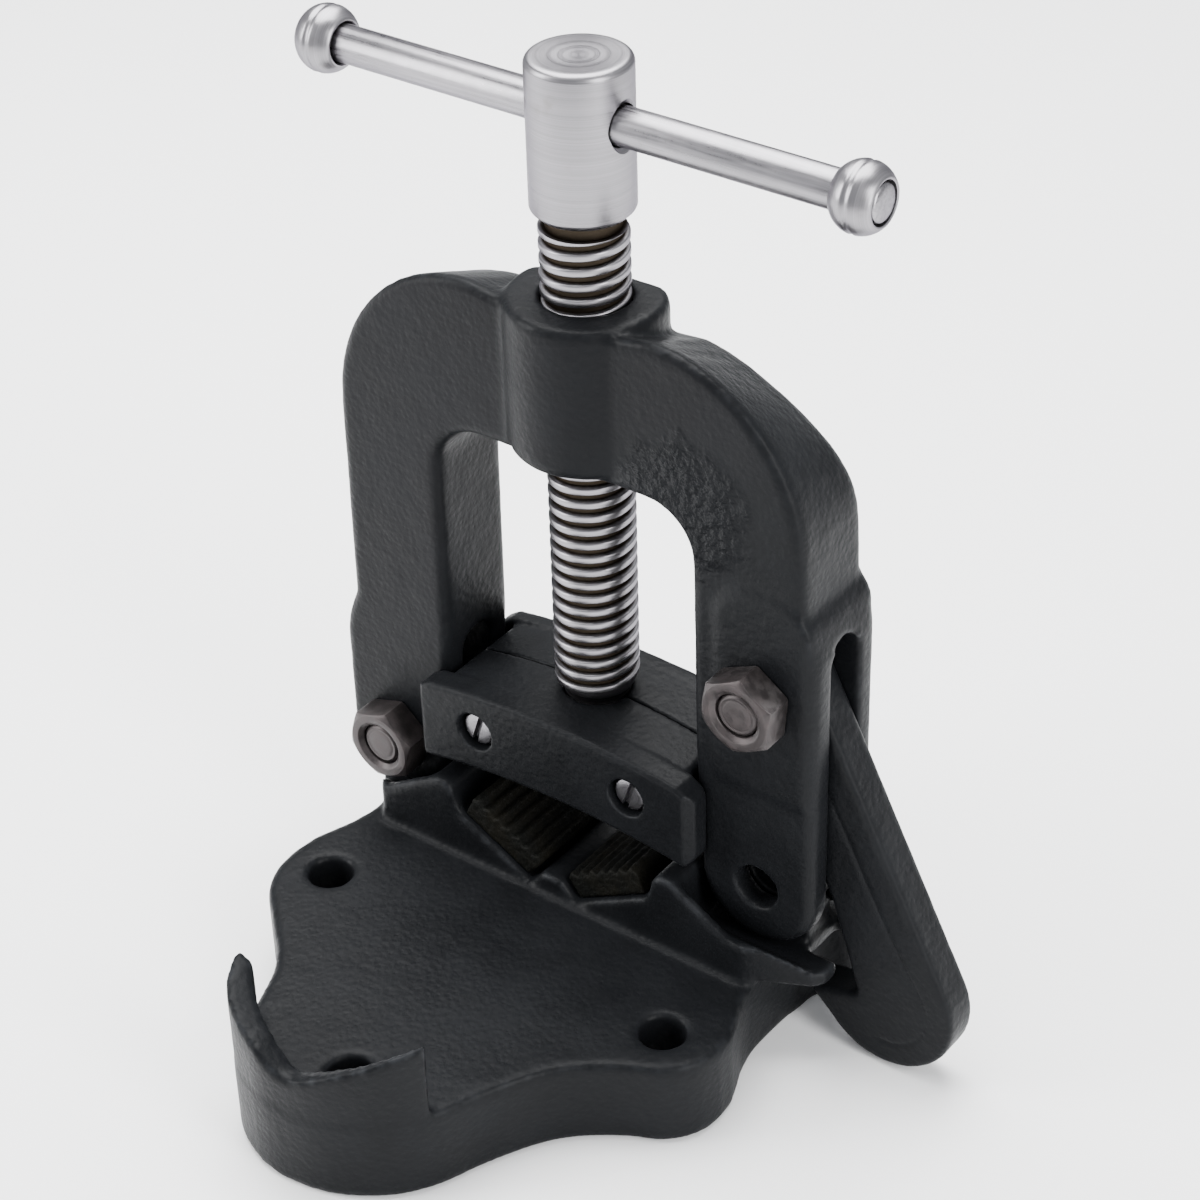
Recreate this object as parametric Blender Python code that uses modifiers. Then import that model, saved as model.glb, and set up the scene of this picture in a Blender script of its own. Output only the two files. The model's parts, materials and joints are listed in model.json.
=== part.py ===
"""Bench yoke pipe vise: a hinged yoke with a screw, a sliding jaw and a swinging latch hook.

Every size below is in millimetres; meshes are made in metres.
X runs across the yoke (hinge at -X, hook at +X), Y along the pipe (horn at -Y), Z up.
The origin is under the screw's axis on the face that stands on the bench.
"""
import bpy
import bmesh
from math import cos, pi, radians, sin
from mathutils import Matrix, Vector

MM = 0.001
GAP = 0.3                      # between pieces that touch on the real vise

# base casting
PLATE_TOP = 25.0
PLATE_THICK = 8.0
LOBE_HOLE = (54.5, -49.0)
FRONT_HOLE_Y = -105.0
BENCH_BOLT = 12.0
SADDLE_HALF_DEPTH = 23.5
LUG_END_X = 79.5
LUG_SLOT_X = 70.0              # bottom of the slot that the hook swings through
LUG_SLOT_HALF = 7.4
LEFT_END_X = 69.0
HORN_MIDDLE_X = -4.0           # the pipe's notch stands a little off the screw's plane
HORN_SCALE = 0.996             # its wall stands a hair inside the plate's

# yoke
LEG_X = 58.2                   # hinge and hook bolts stand on this distance from the screw
LEG_RADIUS = 17.2
LEG_OUTER_X = 75.2
LEG_INNER_X = 38.6
LEG_HALF_DEPTH = 13.3
HINGE_Z = PLATE_TOP + 23.5
HOOK_Z = PLATE_TOP + 82.8
ARM_TOP = PLATE_TOP + 171.3
ARM_UNDERSIDE = PLATE_TOP + 127.5
ARM_OUTER_X = 70.6
SHOULDER_ACROSS = 43.6         # half axes of the shoulder's oval
SHOULDER_UP = 48.3
ARM_BACK_DROP = 10.8           # how far the arm's top falls towards the back
SHOULDER_EXTRA_DROP = 3.4      # and how much more on the hook's shoulder
WINDOW_RADIUS = 13.5
HUB_RADIUS = 20.3
HUB_TOP = ARM_TOP - 1.7
HUB_BOTTOM = PLATE_TOP + 128.4
FORK_HALF_WIDTH = 6.2
PAD_HALF_DEPTH = 14.2          # raised pads round the hook's bolt

# bolts and nuts
BOLT_RADIUS = 5.9
BOLT_HOLE_RADIUS = 6.2
HEX_RADIUS = 10.95             # to a corner, 19 across the flats
BOLT_HEAD = 7.5
NUT_HEIGHT = 8.6

# hook
HOOK_HALF_THICK = 5.5
HOOK_EYE = 11.0
HOOK_LEAN = 1.2                # degrees that the toe stands clear of the lug

# screw, bar and knobs
THREAD_RADIUS = 11.0
BORE_RADIUS = 11.4
HEAD_RADIUS = 12.8
HEAD_TOP = PLATE_TOP + 230.8
HEAD_BOTTOM = PLATE_TOP + 191.8
BAR_Z = PLATE_TOP + 216.2
BAR_RADIUS = 4.75
BAR_HALF = 81.8
KNOB_X = 76.0
KNOB_HALF = 5.5
KNOB_RADIUS = 8.5

# sliding jaw
CARRIER_TOP = PLATE_TOP + 55.3
CARRIER_UNDERSIDE = PLATE_TOP + 31.3
CARRIER_FRONT_DEPTH = 22.0
CARRIER_BACK_DEPTH = 19.2
CARRIER_WEB_X = 38.0
CARRIER_FLANGE_X = 44.2
CARRIER_CHAMFER = 3.5
CARRIER_SAG = 4.0              # how far the arched edges drop at their ends
CARRIER_SCREW = (24.3, PLATE_TOP + 42.5)
COLLAR_TOP = PLATE_TOP + 45.2
COLLAR_BOTTOM = PLATE_TOP + 38.6
COLLAR_RADIUS = 10.2
NECK_RADIUS = 8.6
THREAD_END = PLATE_TOP + 57.4   # just above the sliding jaw

# jaw inserts
TOOTH_DEPTH = 1.6
LOWER_JAW_HALF_DEPTH = 21.5
UPPER_JAW_HALF_DEPTH = 17.0
UPPER_JAW_HALF = 27.0
JAW_SCREW_X = 19.0


def clear_scene():
    for old in list(bpy.data.objects):
        bpy.data.objects.remove(old, do_unlink=True)


def new_collection(name):
    made = bpy.data.collections.new(name)
    bpy.context.scene.collection.children.link(made)
    return made


def finish(name, colour, metallic, roughness):
    material = bpy.data.materials.new(name)
    material.use_nodes = True
    shader = material.node_tree.nodes["Principled BSDF"]
    shader.inputs["Base Color"].default_value = (*colour, 1.0)
    shader.inputs["Metallic"].default_value = metallic
    shader.inputs["Roughness"].default_value = roughness
    return material


clear_scene()
PARTS = new_collection("yoke_pipe_vise")
TOOLS = new_collection("yoke_pipe_vise_tools")
CASTING = ((0.016, 0.018, 0.021), 0.0, 0.5)
BRIGHT = ((0.55, 0.54, 0.56), 1.0, 0.3)
BLACK_OXIDE = ((0.06, 0.05, 0.048), 0.8, 0.5)
HARD_JAW = ((0.03, 0.026, 0.022), 0.5, 0.7)


def add_mesh(name, mesh, collection):
    obj = bpy.data.objects.new(name, mesh)
    collection.objects.link(obj)
    return obj


def as_tool(obj):
    """A shape that another object is cut by or joined with."""
    obj.hide_render = True
    obj.display_type = "WIRE"
    return obj


def as_part(obj, look):
    """Move a finished shape in with the parts and give it its own material."""
    TOOLS.objects.unlink(obj)
    PARTS.objects.link(obj)
    obj.hide_render = False
    obj.display_type = "TEXTURED"
    obj.data.materials.clear()
    obj.data.materials.append(finish(obj.name + "_finish", *look))
    return obj


def shade(obj, angle=32):
    obj.data.shade_smooth()
    obj.data.set_sharp_from_angle(angle=radians(angle))


def arc(centre, radius, start, end, steps):
    """Points on an arc, both ends included, with angles in degrees."""
    angles = [radians(start + (end - start) * k / steps) for k in range(steps + 1)]
    return [(centre[0] + radius * cos(a), centre[1] + radius * sin(a)) for a in angles]


def mirrored(half):
    """Close an outline whose right half runs from its first to its last point on the centre line."""
    left = [(-x, z) for x, z in reversed(half) if x > 0.0]
    return half + left


def frame_of(plane):
    """Turn a flat curve's own axes (across, up, thickness) into the world's."""
    if plane == "XZ":
        return Matrix(((1, 0, 0), (0, 0, -1), (0, 1, 0))).to_4x4()
    if plane == "YZ":
        return Matrix(((0, 0, 1), (1, 0, 0), (0, 1, 0))).to_4x4()
    return Matrix.Identity(4)


def prism(name, outline, low, high, plane="XZ", smooth_curve=False):
    """A flat outline, given thickness from low to high along the plane's normal."""
    curve = bpy.data.curves.new(name, "CURVE")
    curve.dimensions = "2D"
    curve.fill_mode = "BOTH"
    curve.extrude = (high - low) / 2 * MM
    if smooth_curve:
        spline = curve.splines.new("BEZIER")
        spline.bezier_points.add(len(outline) - 1)
        for point, (a, b) in zip(spline.bezier_points, outline):
            point.co = (a * MM, b * MM, 0)
            point.handle_left_type = "AUTO"
            point.handle_right_type = "AUTO"
        spline.resolution_u = 4
    else:
        spline = curve.splines.new("POLY")
        spline.points.add(len(outline) - 1)
        for point, (a, b) in zip(spline.points, outline):
            point.co = (a * MM, b * MM, 0, 1)
    spline.use_cyclic_u = True
    flat = bpy.data.objects.new(name + "_outline", curve)
    TOOLS.objects.link(flat)
    bpy.context.view_layer.update()
    evaluated = flat.evaluated_get(bpy.context.evaluated_depsgraph_get())
    mesh = bpy.data.meshes.new_from_object(evaluated)
    mesh.name = name
    bpy.data.objects.remove(flat, do_unlink=True)
    middle = (low + high) / 2 * MM
    if plane == "XZ":
        middle = -middle
    place = frame_of(plane) @ Matrix.Translation((0, 0, middle))
    edit = bmesh.new()
    edit.from_mesh(mesh)
    bmesh.ops.remove_doubles(edit, verts=edit.verts, dist=1e-5)
    bmesh.ops.dissolve_limit(edit, angle_limit=radians(0.5), verts=edit.verts, edges=edit.edges)
    bmesh.ops.transform(edit, matrix=place, verts=edit.verts)
    bmesh.ops.recalc_face_normals(edit, faces=edit.faces)
    edit.to_mesh(mesh)
    edit.free()
    return as_tool(add_mesh(name, mesh, TOOLS))


def box(name, low, high):
    size = Vector(high) - Vector(low)
    centre = (Vector(high) + Vector(low)) / 2
    edit = bmesh.new()
    bmesh.ops.create_cube(edit, size=1.0)
    bmesh.ops.scale(edit, vec=size * MM, verts=edit.verts)
    bmesh.ops.translate(edit, vec=centre * MM, verts=edit.verts)
    mesh = bpy.data.meshes.new(name)
    edit.to_mesh(mesh)
    edit.free()
    return as_tool(add_mesh(name, mesh, TOOLS))


def rod(name, radius, low, high, at, axis, sides=32, turn=0.0):
    """A cylinder along an axis, from low to high; at gives its other two coordinates in order."""
    edit = bmesh.new()
    length = high - low
    bmesh.ops.create_cone(edit, cap_ends=True, segments=sides, radius1=radius * MM,
                          radius2=radius * MM, depth=length * MM)
    spin = Matrix.Rotation(radians(turn), 4, "Z")
    middle = (low + high) / 2
    if axis == "X":
        place = Matrix.Translation(Vector((middle, at[0], at[1])) * MM)
        spin = Matrix.Rotation(pi / 2, 4, "Y") @ spin
    elif axis == "Y":
        place = Matrix.Translation(Vector((at[0], middle, at[1])) * MM)
        spin = Matrix.Rotation(-pi / 2, 4, "X") @ spin
    else:
        place = Matrix.Translation(Vector((at[0], at[1], middle)) * MM)
    bmesh.ops.transform(edit, matrix=place @ spin, verts=edit.verts)
    mesh = bpy.data.meshes.new(name)
    edit.to_mesh(mesh)
    edit.free()
    obj = as_tool(add_mesh(name, mesh, TOOLS))
    if sides > 6:
        shade(obj)
    return obj


def turned(name, profile, steps=40, turn=None, at=(0, 0, 0)):
    """A profile of (radius, height) points, listed from top to bottom, turned about Z."""
    mesh = bpy.data.meshes.new(name)
    points = [(r * MM, 0, z * MM) for r, z in profile]
    closed = profile[0][0] > 0
    edges = [(k, k + 1) for k in range(len(points) - 1)]
    if closed:
        edges.append((len(points) - 1, 0))
    mesh.from_pydata(points, edges, [])
    obj = as_tool(add_mesh(name, mesh, TOOLS))
    screw = obj.modifiers.new("turn", "SCREW")
    screw.steps = steps
    screw.render_steps = steps
    screw.use_merge_vertices = True
    screw.merge_threshold = 1e-6
    screw.use_smooth_shade = True
    if turn is not None:
        obj.matrix_world = Matrix.Translation(Vector(at) * MM) @ turn
    return obj


def bevel(obj, width, segments=2, angle=50):
    tool = obj.modifiers.new("rounded_edges", "BEVEL")
    tool.width = width * MM
    tool.segments = segments
    tool.limit_method = "ANGLE"
    tool.angle_limit = radians(angle)
    tool.use_clamp_overlap = False
    return obj


def combine(obj, operation, *tools):
    for tool in tools:
        step = obj.modifiers.new(operation.lower() + "_" + tool.name, "BOOLEAN")
        step.operation = operation
        step.solver = "EXACT"
        step.object = tool
    return obj


def cut(obj, *tools):
    return combine(obj, "DIFFERENCE", *tools)


def join(obj, *tools):
    return combine(obj, "UNION", *tools)


def keep_inside(obj, *tools):
    return combine(obj, "INTERSECT", *tools)


def set_origin(obj, place):
    """Move an object's origin, leaving its mesh where it is."""
    shift = Vector(place) * MM
    obj.data.transform(Matrix.Translation(-shift))
    obj.location = shift


# ---- base -------------------------------------------------------------------------------------

BASE_OUTLINE = [
    (-3, -124.5), (14, -118.2), (25, -107), (31.5, -92), (41, -75.5), (53, -65.5), (65, -58.5),
    (70, -46), (63.5, -24), (63.8, 0), (65.3, 8), (71, 17), (66, 27), (47, 29),
    (-47, 29), (-66, 27), (-71, 17), (-65.3, 8), (-63.8, 0), (-63.5, -24), (-69, -45), (-66, -60.5),
    (-55, -72), (-43, -84.5), (-37, -98), (-31.5, -113), (-20, -122),
]


def base_plan(scale=1.0, centre_y=-48.0):
    return [(x * scale, centre_y + (y - centre_y) * scale) for x, y in BASE_OUTLINE]


def saddle_half():
    """Front view of the saddle: centre ridge, sloping jaw seat, shoulder and lug."""
    top = PLATE_TOP
    return [
        (0, top + 6), (3, top + 6), (7.2, top + 0.8), (31, top + 13.8), (33.2, top + 21.5),
        (34.6, top + 22.3), (38.5, top + 22.3), (56, top + 11.5), (LUG_END_X, top + 11.5),
        (LUG_END_X, top + 0.5), (60, top + 0.5), (60, top - 6), (0, top - 6),
    ]


def make_horn():
    """The upright rest at the front: the base's own outline, with a notch for the pipe."""
    low = PLATE_TOP - 4
    valley = PLATE_TOP + 10
    profile = [(HORN_MIDDLE_X - 1.5, valley), (HORN_MIDDLE_X + 1.5, valley), (30, PLATE_TOP + 24.4),
               (36, PLATE_TOP + 24.4), (36, low), (-38, low), (-38, PLATE_TOP + 22.6),
               (-31, PLATE_TOP + 21.8), (-14, PLATE_TOP + 15)]
    horn = prism("horn", base_plan(HORN_SCALE), PLATE_TOP - 5, PLATE_TOP + 40, "XY", True)
    keep_inside(horn, prism("horn_front_view", profile, -140, -104.8))
    cut(horn, rod("horn_hollow", 33.4, PLATE_TOP - 6, PLATE_TOP + 41, (-2.9, -85.0), "Z", 56))
    return horn


def make_hollow():
    """The space under the plate, leaving a middle rib and a boss round each bolt."""
    roof = PLATE_TOP - PLATE_THICK
    hollow = prism("hollow", base_plan(0.905), -2, roof, "XY", True)
    tools = [box("middle_rib", (-4.5, -130, -3), (4.5, 40, roof + 1)),
             box("cross_rib", (-80, -31, -3), (80, -25, roof + 1)),
             rod("boss_front", 10.5, -3, roof + 1, (0, FRONT_HOLE_Y), "Z")]
    for side, name in ((-1, "left"), (1, "right")):
        centre = (side * LOBE_HOLE[0], LOBE_HOLE[1])
        tools.append(rod("boss_" + name, 10.5, -3, roof + 1, centre, "Z"))
    return cut(hollow, *tools)


def make_trough(side, name):
    """Flared space in the saddle where a leg of the yoke sits."""
    floor = PLATE_TOP + 5.0
    narrow = LEG_HALF_DEPTH + 0.75
    section = [(-narrow, floor), (-20.5, PLATE_TOP + 11.6), (-20.5, PLATE_TOP + 60),
               (20.5, PLATE_TOP + 60), (20.5, PLATE_TOP + 11.6), (narrow, floor)]
    near, far = sorted((side * 39.9, side * 95.0))
    return prism("trough_" + name, section, near, far, "YZ")


def make_tongue(side, name):
    """The upright ear that stands in a leg's fork, with the bolt's hole."""
    half = FORK_HALF_WIDTH - 0.6
    end = (LUG_SLOT_X if side > 0 else LEFT_END_X) - 1.0
    near, far = sorted((side * 43.0, side * end))
    tongue = box("tongue_" + name, (near, -half, PLATE_TOP + 2), (far, half, PLATE_TOP + 13))
    hinge = (side * LEG_X, HINGE_Z)
    join(tongue, rod("tongue_eye_" + name, 13.0, -half - 0.02, half + 0.02, hinge, "Y", 40))
    return tongue


def make_base():
    base = prism("base_casting", base_plan(), 0, PLATE_TOP, "XY", True)
    bevel(base, 1.5, 2)
    saddle = prism("saddle", mirrored(saddle_half()), -SADDLE_HALF_DEPTH, SADDLE_HALF_DEPTH)
    lug = [(60, -SADDLE_HALF_DEPTH), (77, -15.5), (LUG_END_X, -12), (LUG_END_X, 12), (77, 15.5),
           (60, SADDLE_HALF_DEPTH)]
    left_end = [(-57, SADDLE_HALF_DEPTH), (-LEFT_END_X, 8.5), (-LEFT_END_X, -8.5),
                (-57, -SADDLE_HALF_DEPTH)]
    keep_inside(saddle, prism("saddle_plan", lug + left_end, 0, PLATE_TOP + 60, "XY"))
    cut(saddle, box("hook_slot", (LUG_SLOT_X, -LUG_SLOT_HALF, 0), (90, LUG_SLOT_HALF, 90)))
    join(base, saddle, make_horn())
    cut(base, make_trough(-1, "left"), make_trough(1, "right"))
    join(base, make_tongue(-1, "left"), make_tongue(1, "right"))
    cut(base, make_hollow())
    holes = [rod("bench_hole_front", BENCH_BOLT / 2, -5, PLATE_TOP + 5, (0, FRONT_HOLE_Y), "Z")]
    for side, name in ((-1, "left"), (1, "right")):
        centre = (side * LOBE_HOLE[0], LOBE_HOLE[1])
        holes.append(rod("bench_hole_" + name, BENCH_BOLT / 2, -5, PLATE_TOP + 5, centre, "Z"))
        hinge = (side * LEG_X, HINGE_Z)
        holes.append(rod("ear_hole_" + name, BOLT_HOLE_RADIUS, -9, 9, hinge, "Y"))
        holes.append(rod("jaw_screw_hole_" + name, 3.3, 5, PLATE_TOP + 20, (side * JAW_SCREW_X, 0), "Z", 24))
    cut(base, *holes)
    return as_part(base, CASTING)


# ---- yoke -------------------------------------------------------------------------------------

def yoke_half(cheek_top):
    """Front view of one side, from the middle of the arm's top round the leg to the window."""
    middle = (ARM_OUTER_X - SHOULDER_ACROSS, ARM_TOP - SHOULDER_UP)
    shoulder = [(middle[0] + SHOULDER_ACROSS * x, middle[1] + SHOULDER_UP * z)
                for x, z in arc((0, 0), 1.0, 90, 0, 12)]
    corner = (LEG_INNER_X - WINDOW_RADIUS, ARM_UNDERSIDE - WINDOW_RADIUS)
    points = [(0, HUB_TOP), (HUB_RADIUS - 3, HUB_TOP)] + shoulder
    points += [(ARM_OUTER_X + 0.4, cheek_top + 6), (ARM_OUTER_X + 2.2, cheek_top + 2),
               (LEG_OUTER_X - 1.0, cheek_top - 2), (LEG_OUTER_X, cheek_top - 7)]
    points += arc((LEG_X, HINGE_Z), LEG_RADIUS, -8, -172, 18)
    points.append((LEG_INNER_X + 0.4, PLATE_TOP + 60))
    points += arc(corner, WINDOW_RADIUS, 0, 90, 6)
    points.append((0, ARM_UNDERSIDE))
    return points


def slope_arm(yoke):
    """Let the arm's top fall towards the back, most in the middle and not at all on the legs."""
    start = ARM_TOP - SHOULDER_UP
    for corner in yoke.data.vertices:
        outside = corner.co.z > ARM_UNDERSIDE * MM or abs(corner.co.x) > LEG_X * MM
        if corner.co.y > 0 and outside:
            rise = min(max((corner.co.z / MM - start) / SHOULDER_UP, 0.0), 1.0)
            outward = min(max((corner.co.x / MM - HUB_RADIUS) / 25, 0.0), 1.0)
            drop = ARM_BACK_DROP + SHOULDER_EXTRA_DROP * outward
            corner.co.z -= drop * MM * rise * rise * (3 - 2 * rise)


def make_fork(side, name, top):
    """A leg's slot, open at the foot, with a round upper end."""
    near, far = sorted((side * 30.0, side * 90.0))
    slot = box("fork_" + name, (near, -FORK_HALF_WIDTH, PLATE_TOP - 5), (far, FORK_HALF_WIDTH, top))
    return join(slot, rod("fork_end_" + name, FORK_HALF_WIDTH - 0.01, near - 1, far + 1, (0, top), "X"))


def make_pad():
    """Raised pads on both faces of the hook's leg."""
    low = PLATE_TOP + 54
    high = PLATE_TOP + 113
    outline = [(46, low), (73.9, low)] + arc((62.9, high - 11), 11, 0, 90, 6)
    outline += arc((55, high - 9), 9, 90, 180, 6)
    return bevel(prism("hook_pad", outline, -PAD_HALF_DEPTH, PAD_HALF_DEPTH), 1.2, 2)


def make_yoke():
    left = [(-x, z) for x, z in reversed(yoke_half(PLATE_TOP + 58)) if x > 0]
    yoke = prism("yoke", yoke_half(PLATE_TOP + 104) + left, -LEG_HALF_DEPTH, LEG_HALF_DEPTH)
    slope_arm(yoke)
    bevel(yoke, 2.5, 3)
    top = HUB_TOP + 0.4
    hub = turned("hub", [(0, top), (HUB_RADIUS - 1.8, top), (HUB_RADIUS - 0.5, top - 0.5),
                         (HUB_RADIUS, top - 1.8)]
                 + arc((HUB_RADIUS - 3.6, HUB_BOTTOM + 3.6), 3.6, 0, -90, 4) + [(0, HUB_BOTTOM)], 56)
    back = LEG_HALF_DEPTH - 0.9
    plan = [(-30, -30), (30, -30), (30, -2), (18.2, back - 3.3), (16.3, back - 1.2), (13.4, back),
            (0, back), (-7, back - 1.4), (-14, back - 5), (-30, -4)]
    keep_inside(hub, prism("hub_plan", plan, 60, 300, "XY"))
    join(yoke, hub, make_pad())
    cut(yoke, make_fork(-1, "left", PLATE_TOP + 52), make_fork(1, "right", PLATE_TOP + 93.3))
    cut(yoke, rod("screw_bore", BORE_RADIUS, PLATE_TOP + 100, ARM_TOP + 20, (0, 0), "Z", 48))
    for name, x, z in (("left", -LEG_X, HINGE_Z), ("right", LEG_X, HINGE_Z), ("hook", LEG_X, HOOK_Z)):
        cut(yoke, rod("leg_hole_" + name, BOLT_HOLE_RADIUS, -20, 20, (x, z), "Y"))
    as_part(yoke, CASTING)
    set_origin(yoke, (-LEG_X, 0, HINGE_Z))
    return yoke


# ---- bolts and nuts -----------------------------------------------------------------------------

def make_bolt(name, face, x, z, turn):
    """A hex bolt along Y, its head on the far face and its end in the nut."""
    seat = face + GAP
    bolt = rod(name, HEX_RADIUS, seat, seat + BOLT_HEAD, (x, z), "Y", 6, turn)
    bevel(bolt, 0.8, 1, 70)
    end = -seat - NUT_HEIGHT + 0.6
    shank = rod(name + "_shank", BOLT_RADIUS, end, seat + 2, (x, z), "Y")
    return as_part(join(bolt, bevel(shank, 0.8, 1, 60)), BLACK_OXIDE)


def make_nut(name, face, x, z, turn):
    seat = face + GAP
    nut = rod(name, HEX_RADIUS, -seat - NUT_HEIGHT, -seat, (x, z), "Y", 6, turn)
    bevel(nut, 0.9, 1, 70)
    cut(nut, rod(name + "_bore", BOLT_HOLE_RADIUS, -60, 0, (x, z), "Y"))
    return as_part(nut, BLACK_OXIDE)


# ---- hook ---------------------------------------------------------------------------------------

def make_hook():
    """A flat latch: eye, straight arm and a round foot whose toe goes under the lug."""
    lean = 26.0
    foot = (32.0, -87.5)
    foot_radius = 19.8
    outline = arc((0, 0), HOOK_EYE, lean + 180, lean, 12)
    outline += arc(foot, foot_radius, lean, -143, 18)
    outline += [(9.3, -92.4), (10.2, -91.5), (22.0, -89.0), (23.4, -88.2), (23.7, -86.6), (15.8, -60)]
    hook = prism("hook", outline, -HOOK_HALF_THICK, HOOK_HALF_THICK)
    bevel(hook, 1.3, 2)
    cut(hook, rod("hook_eye_hole", BOLT_HOLE_RADIUS, -10, 10, (0, 0), "Y"))
    as_part(hook, CASTING)
    hook.location = Vector((LEG_X, 0, HOOK_Z)) * MM
    hook.rotation_euler = (0, radians(-HOOK_LEAN), 0)
    bpy.data.objects["hook_eye_hole"].parent = hook
    return hook


# ---- screw, bar and knobs -------------------------------------------------------------------------

def make_spindle():
    profile = [
        (0, HEAD_TOP), (HEAD_RADIUS - 1.9, HEAD_TOP), (HEAD_RADIUS - 0.6, HEAD_TOP - 0.6),
        (HEAD_RADIUS, HEAD_TOP - 1.9), (HEAD_RADIUS, HEAD_BOTTOM + 1.8),
        (HEAD_RADIUS - 1.6, HEAD_BOTTOM), (9.3, HEAD_BOTTOM - 0.6), (9.3, HEAD_BOTTOM - 4.0),
        (THREAD_RADIUS, HEAD_BOTTOM - 5.0), (THREAD_RADIUS, THREAD_END + 1.8),
        (NECK_RADIUS + 0.6, THREAD_END), (NECK_RADIUS, THREAD_END - 0.4), (NECK_RADIUS, COLLAR_TOP),
        (COLLAR_RADIUS, COLLAR_TOP), (COLLAR_RADIUS, COLLAR_BOTTOM + 1), (COLLAR_RADIUS - 1, COLLAR_BOTTOM),
        (0, COLLAR_BOTTOM),
    ]
    spindle = turned("spindle", profile, 48)
    cut(spindle, rod("bar_hole", BAR_RADIUS + 0.45, -30, 30, (0, BAR_Z), "X"))
    return as_part(spindle, BRIGHT)


def make_bar():
    bar = rod("tommy_bar", BAR_RADIUS, -BAR_HALF, BAR_HALF, (0, BAR_Z), "X", 32)
    bevel(bar, 0.6, 1, 60)
    return as_part(bar, BRIGHT)


def make_knob(side, name):
    """A barrel-shaped ring pressed on the bar's end."""
    bore = BAR_RADIUS + GAP
    outer = [(KNOB_RADIUS - 2.0 * (2 * k / 8 - 1) ** 2 * (1 + 0.25 * (2 * k / 8 - 1) ** 2),
              KNOB_HALF - 2 * KNOB_HALF * k / 8) for k in range(9)]
    profile = outer + [(bore, -KNOB_HALF), (bore, KNOB_HALF)]
    along_x = Matrix.Rotation(side * pi / 2, 4, "Y")
    knob = turned("bar_knob_" + name, profile, 32, along_x, (side * KNOB_X, 0, BAR_Z))
    return as_part(knob, BRIGHT)


# ---- sliding jaw ----------------------------------------------------------------------------------

def carrier_outline(half_width, corner):
    """Front view of the sliding jaw: both long edges arched, the ends rounded."""
    reach = half_width - corner
    across = [reach * k / 6 for k in range(7)]
    top = [(x, CARRIER_TOP - CARRIER_SAG * (x / half_width) ** 2) for x in across]
    low = [(x, CARRIER_UNDERSIDE - CARRIER_SAG * (x / half_width) ** 2) for x in reversed(across)]
    upper = (reach, CARRIER_TOP - CARRIER_SAG - corner)
    lower = (reach, CARRIER_UNDERSIDE - CARRIER_SAG + corner)
    end = arc(upper, corner, 65, 0, 4) + arc(lower, corner, 0, -65, 4)
    return mirrored(top + end + low)


def make_carrier_half(side, name):
    """One half of the jaw's body; the two clamp round the screw's collar."""
    seam = GAP / 2
    depth = CARRIER_FRONT_DEPTH if side < 0 else CARRIER_BACK_DEPTH
    near, far = sorted((side * seam, side * (LEG_HALF_DEPTH + 2)))
    body = prism("jaw_carrier_" + name, carrier_outline(CARRIER_WEB_X, 1.5), near, far)
    near, far = sorted((side * (LEG_HALF_DEPTH + 0.55), side * depth))
    flange = prism("flange_" + name, carrier_outline(CARRIER_FLANGE_X, 4.5), near, far)
    wide = CARRIER_FLANGE_X + 1
    face = side * (depth + 1)
    shoulder = CARRIER_CHAMFER + 1
    plan = [(-wide, 0), (-wide, face - side * shoulder), (shoulder - wide, face),
            (wide - shoulder, face), (wide, face - side * shoulder), (wide, 0)]
    bevel(flange, 1.2, 2)
    keep_inside(flange, prism("flange_plan_" + name, plan, 0, CARRIER_TOP + 10, "XY"))
    join(body, flange)
    room = 0.4
    socket = turned("collar_socket_" + name, [
        (0, CARRIER_TOP + 5), (NECK_RADIUS + room, CARRIER_TOP + 5),
        (NECK_RADIUS + room, COLLAR_TOP + room),
        (COLLAR_RADIUS + room, COLLAR_TOP + room), (COLLAR_RADIUS + room, COLLAR_BOTTOM - room),
        (0, COLLAR_BOTTOM - room)], 40)
    slot_half = UPPER_JAW_HALF + GAP
    seat = box("upper_seat_" + name, (-slot_half, -UPPER_JAW_HALF_DEPTH - GAP, PLATE_TOP),
               (slot_half, UPPER_JAW_HALF_DEPTH + GAP, PLATE_TOP + 35.5 + GAP))
    cut(body, socket, seat)
    for x_side, word in ((-1, "left"), (1, "right")):
        at = (x_side * CARRIER_SCREW[0], CARRIER_SCREW[1])
        if side < 0:
            cut(body, rod("screw_way_%s_%s" % (name, word), 3.4, -30, 5, at, "Y", 24))
            cut(body, rod("screw_seat_%s_%s" % (name, word), 5.5, -30, -17.2, at, "Y"))
        else:
            cut(body, rod("screw_way_%s_%s" % (name, word), 3.4, -5, 15, at, "Y", 24))
    return as_part(body, CASTING)


def make_carrier_screw(side, name):
    at = (side * CARRIER_SCREW[0], CARRIER_SCREW[1])
    screw = rod("carrier_screw_" + name, 5.0, -21.3, -17.5, at, "Y")
    bevel(screw, 0.5, 1, 60)
    join(screw, rod("carrier_shank_" + name, 3.0, -18.5, 13.0, at, "Y", 20))
    slot = box("driver_slot_" + name, (-0.8, -25, -9), (0.8, -19.7, 9))
    slot.data.transform(Matrix.Rotation(radians(18), 4, "Y"))
    slot.location = Vector((at[0], 0, at[1])) * MM
    cut(screw, slot)
    return as_part(screw, BRIGHT)


# ---- jaw inserts ------------------------------------------------------------------------------------

def serrated(start, end, teeth, depth):
    """Tooth tips and roots from start to end; roots stand to the right of the way along."""
    run = Vector(end) - Vector(start)
    side = Vector((run.y, -run.x)).normalized() * depth
    points = []
    for k in range(teeth):
        tip = Vector(start) + run * (k + 0.5) / teeth
        root = Vector(start) + run * (k + 1.0) / teeth + side
        points.append(tuple(tip))
        if k < teeth - 1:
            points.append(tuple(root))
    return points


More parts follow.
